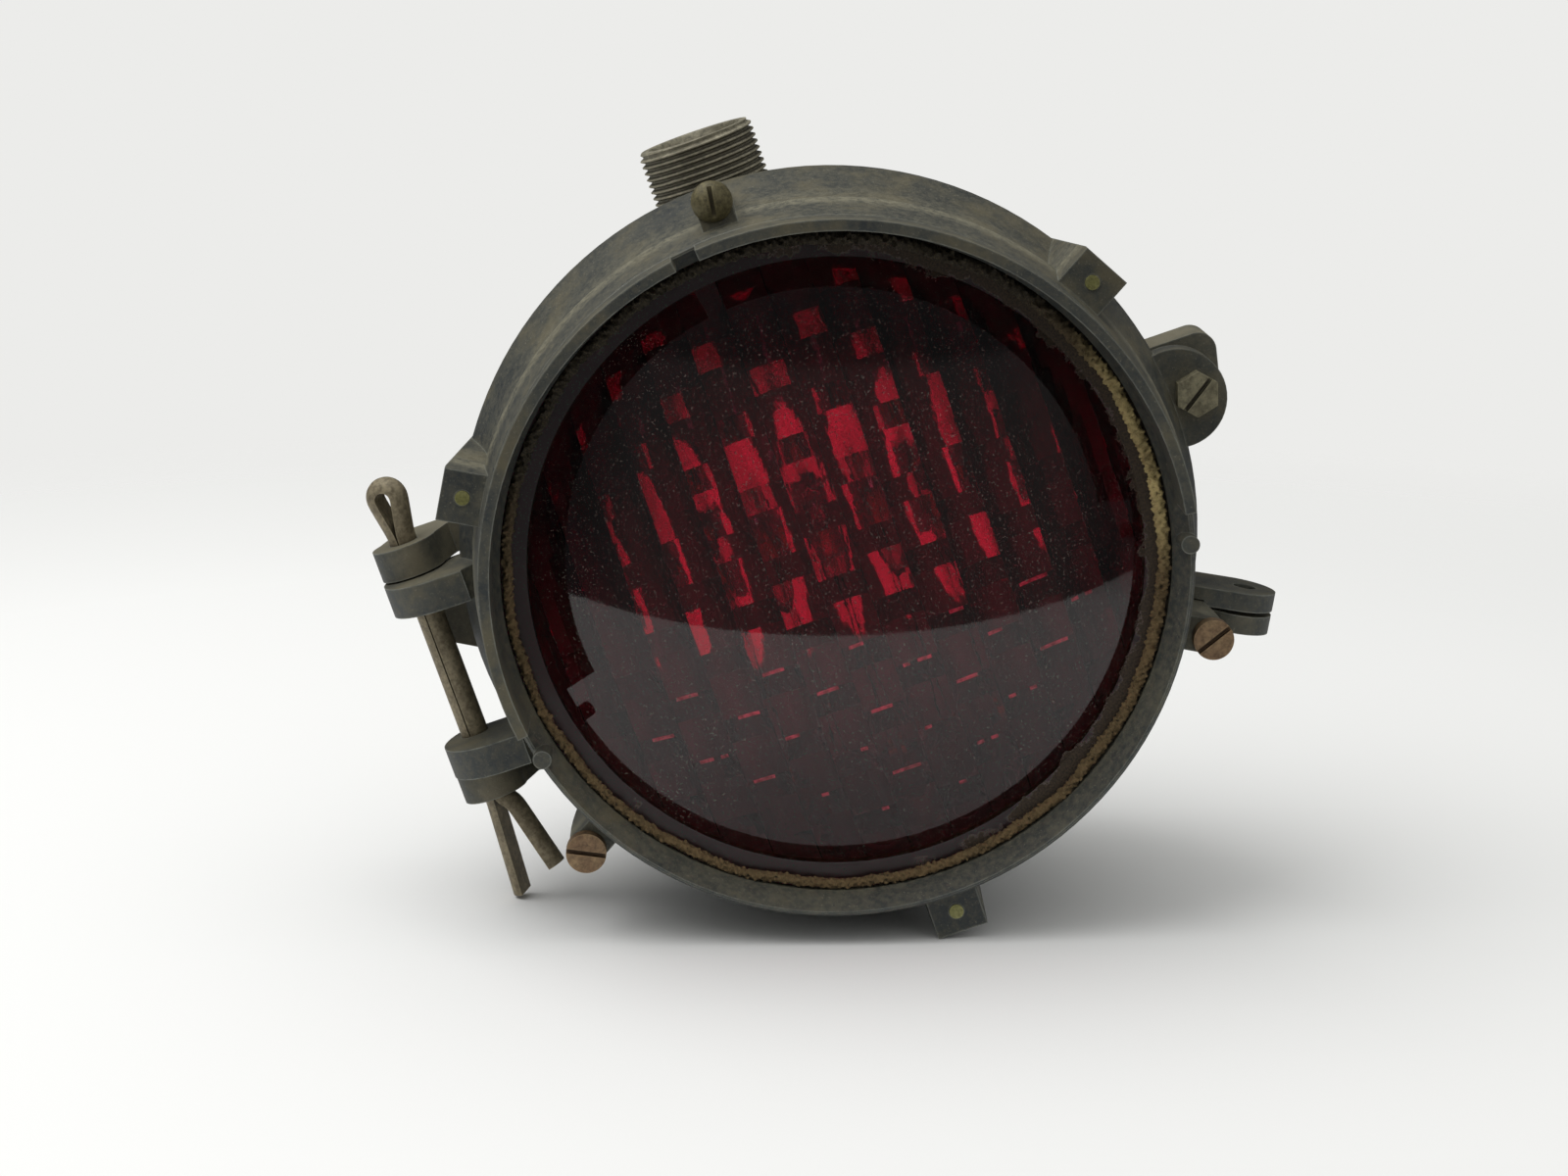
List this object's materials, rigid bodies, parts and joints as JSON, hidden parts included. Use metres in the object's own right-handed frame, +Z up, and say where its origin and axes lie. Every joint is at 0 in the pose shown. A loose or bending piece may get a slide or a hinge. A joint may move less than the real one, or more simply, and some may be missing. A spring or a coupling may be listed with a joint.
{
  "type": "railway colour light signal head",
  "caption": "Round cast signal head with a domed red lens in a hinged door, hood collar, screw lugs, hasp ears and a threaded conduit spigot on top.",
  "frame": {"origin": "on the conduit spigot's axis, on the seat at the foot of its thread", "axes": "+Z up along the conduit spigot, -Y the way the lens faces, +X to the right seen from the front"},
  "size_m": [0.3035, 0.1832, 0.2808],
  "materials": {
    "cast_alloy": "weathered dark paint with olive patina",
    "red_glass": "smooth outside, prisms inside",
    "rope": "tarred rope",
    "rubber": "matte",
    "brass": "tarnished",
    "steel": "brown rusted",
    "conduit_steel": "dull, dirty thread",
    "phenolic": "matte",
    "clear_glass": "clear",
    "lead_cover": "matte"
  },
  "bodies": {
    "house": {"house_casting": "cast_alloy", "conduit_nipple": "conduit_steel", "conduit_locknut": "conduit_steel", "hinge_pin": "steel", "lamp_bracket": "steel", "bracket_screws": "brass", "lampholder_shell": "brass", "lampholder_insulator": "phenolic", "contact_plungers": "brass", "lamp_cap": "brass", "lamp_bulb": "clear_glass", "terminal_block": "phenolic", "terminal_bars": "brass", "terminal_screws": "brass", "block_screws": "brass", "lamp_leads": "lead_cover"},
    "door": {"door_casting": "cast_alloy", "door_hasp": "cast_alloy", "red_lens": "red_glass", "lens_packing": "rope", "lens_gasket": "rubber", "clamp_ring": "brass", "lug_studs": "brass", "hood_screw_top": "brass", "hood_screws_low": "brass", "closing_bolt": "steel", "bolt_keeper": "steel", "door_seal": "rubber"}
  },
  "joints": [
    {"name": "door_hinge", "type": "hinge", "parent": "house", "child": "door", "pos_m": [-0.1415, -0.04, -0.1195], "axis": [0, 0, -1], "range_deg": [0, 110]}
  ]
}
